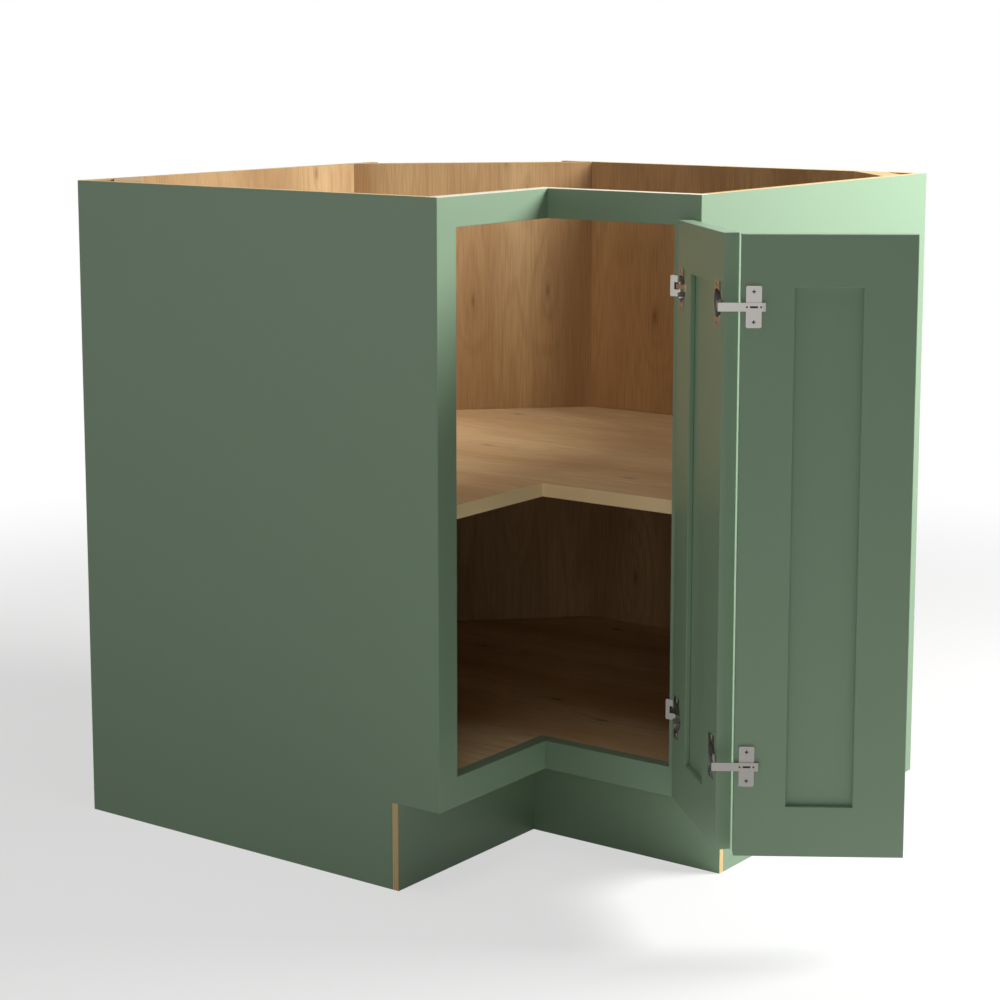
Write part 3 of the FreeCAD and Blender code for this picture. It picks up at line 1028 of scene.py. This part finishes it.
@dataclass
class Studio:
    """A pale floor, soft light from the right and a long lens at standing height."""

    azimuth_deg: float = 36.269
    elevation_deg: float = 8.622
    distance: float = 4.1106
    target: Vector = field(default_factory=lambda: Vector((-0.0894, 0.2419, 0.438)))
    lens_mm: float = 84.04
    shift_up: float = -0.1
    full_white: float = 1.0  # the glow at which white reaches the eye as white
    floor_centre: tuple[float, float, float] = (0.44, -0.48, 0.0)
    floor_size: float = 60.0
    floor_colour: str = "EDEDEB"
    floor_roughness: float = 0.9
    floor_glow_near: float = 0.6
    floor_fade: tuple[float, float] = (1.0, 2.6)
    key: Lamp = Lamp((2.1, 0.5, 1.75), (0.5, -0.4, 0.6), 1.1, 82.0)
    top: Lamp = Lamp((0.8, -0.9, 2.6), (0.8, -0.9, 0.0), 1.6, 10.0)
    fill: Lamp = Lamp((1.75, -2.6, 0.8), (0.5, -0.4, 0.25), 1.2, 4.2)
    side_fill: Lamp = Lamp((-1.0, -2.9, 1.0), (0.3, -0.8, 0.45), 1.5, 8.0)
    sky_strength: float = 0.01

    def build(self) -> None:
        """Makes the floor, the lamps, the sky and the camera."""
        self.make_floor()
        self.make_sky()
        self.make_lamps()
        self.make_camera()
        bpy.context.scene.view_settings.view_transform = "Standard"

    def make_floor(self) -> None:
        """Lays a pale floor that stays bright to the eye and keeps the shadow."""
        shape = bmesh.new()
        bmesh.ops.create_grid(shape, x_segments=1, y_segments=1, size=self.floor_size / 2)
        mesh = bpy.data.meshes.new("studio_floor")
        shape.to_mesh(mesh)
        shape.free()
        mesh.materials.append(self.floor_material())
        floor = bpy.data.objects.new(mesh.name, mesh)
        bpy.context.scene.collection.objects.link(floor)

    def floor_material(self) -> bpy.types.Material:
        """Makes the floor's matt surface, which glows to the eye and more so far away.

        Returns:
            The material.
        """
        sockets = {"Base Color": linear(self.floor_colour), "Roughness": self.floor_roughness}
        made, shader = new_material("pale_studio_floor", sockets)
        tree = made.node_tree
        glow = add_node(tree, "ShaderNodeEmission", {"Strength": self.full_white}, {})
        place = add_node(tree, "ShaderNodeTexCoord", {}, {})
        away_settings = {"operation": "DISTANCE", 1: self.floor_centre}
        away_links = {0: place.outputs["Object"]}
        away = add_node(tree, "ShaderNodeVectorMath", away_settings, away_links)
        fade_settings = {
            "From Min": self.floor_fade[0], "From Max": self.floor_fade[1],
            "To Min": self.floor_glow_near, "To Max": self.full_white,
            "interpolation_type": "SMOOTHSTEP",
        }
        fade = add_node(tree, "ShaderNodeMapRange", fade_settings, {"Value": away.outputs["Value"]})
        share_links = {0: self.seen(tree), 1: fade.outputs[0]}
        share = add_node(tree, "ShaderNodeMath", {"operation": "MULTIPLY"}, share_links)
        mix_links = {0: share.outputs[0], 1: shader.outputs[0], 2: glow.outputs[0]}
        mixed = add_node(tree, "ShaderNodeMixShader", {}, mix_links)
        tree.links.new(mixed.outputs[0], tree.nodes["Material Output"].inputs["Surface"])
        return made

    def seen(self, tree: bpy.types.NodeTree) -> bpy.types.NodeSocket:
        """Gives one for rays that show the background to the eye, directly or in metal.

        Args:
            tree: The node tree.

        Returns:
            The output that tells them.
        """
        path = add_node(tree, "ShaderNodeLightPath", {}, {})
        total = path.outputs["Is Camera Ray"]
        for kind in ("Is Glossy Ray", "Is Transmission Ray"):
            links = {0: total, 1: path.outputs[kind]}
            total = add_node(tree, "ShaderNodeMath", {"operation": "MAXIMUM"}, links).outputs[0]
        return total

    def make_sky(self) -> None:
        """Makes an even white sky, at full white only to the eye."""
        world = bpy.data.worlds.new("studio_sky")
        world.use_nodes = True
        bpy.context.scene.world = world
        tree = world.node_tree
        sky = tree.nodes["Background"]
        sky.inputs["Color"].default_value = linear(WHITE)
        range_settings = {"To Min": self.sky_strength, "To Max": self.full_white}
        level = add_node(tree, "ShaderNodeMapRange", range_settings, {"Value": self.seen(tree)})
        tree.links.new(level.outputs[0], sky.inputs["Strength"])

    def make_lamps(self) -> None:
        """Hangs the key light behind the right wing, one overhead and two weak fills in front."""
        lamps = {
            "key_light": self.key, "top_light": self.top,
            "fill_light": self.fill, "side_fill_light": self.side_fill,
        }
        for name, lamp in lamps.items():
            made = bpy.data.lights.new(name, "AREA")
            made.energy = lamp.power
            made.shape = "DISK"
            made.size = lamp.size
            hung = bpy.data.objects.new(name, made)
            hung.location = lamp.place
            aim = Vector(lamp.target) - Vector(lamp.place)
            hung.rotation_euler = aim.to_track_quat("-Z", "Y").to_euler()
            hung.visible_camera = False
            bpy.context.scene.collection.objects.link(hung)

    def make_camera(self) -> None:
        """Sets the camera at the photograph's angle."""
        turn, rise = math.radians(self.azimuth_deg), math.radians(self.elevation_deg)
        flat = math.cos(rise)
        out = Vector((math.sin(turn) * flat, -math.cos(turn) * flat, math.sin(rise)))
        lens = bpy.data.cameras.new("studio_camera")
        lens.lens = self.lens_mm
        lens.shift_y = self.shift_up
        camera = bpy.data.objects.new("studio_camera", lens)
        camera.location = self.target + out * self.distance
        camera.rotation_euler = (-out).to_track_quat("-Z", "Y").to_euler()
        bpy.context.scene.collection.objects.link(camera)
        bpy.context.scene.camera = camera


def main() -> None:
    """Builds the cabinet's looks and the studio."""
    logging.basicConfig(level=logging.INFO)
    finishes = Finishes()
    Carcass(finishes).build()
    FaceFrame(finishes).build()
    Door(Body.HINGED_DOOR, ("hinge_stile", "fold_stile"), finishes).build()
    Door(Body.FOLDING_DOOR, ("fold_stile", "free_stile"), finishes).build()
    Hinges(finishes).build()
    Studio().build()


if __name__ == "__main__":
    main()
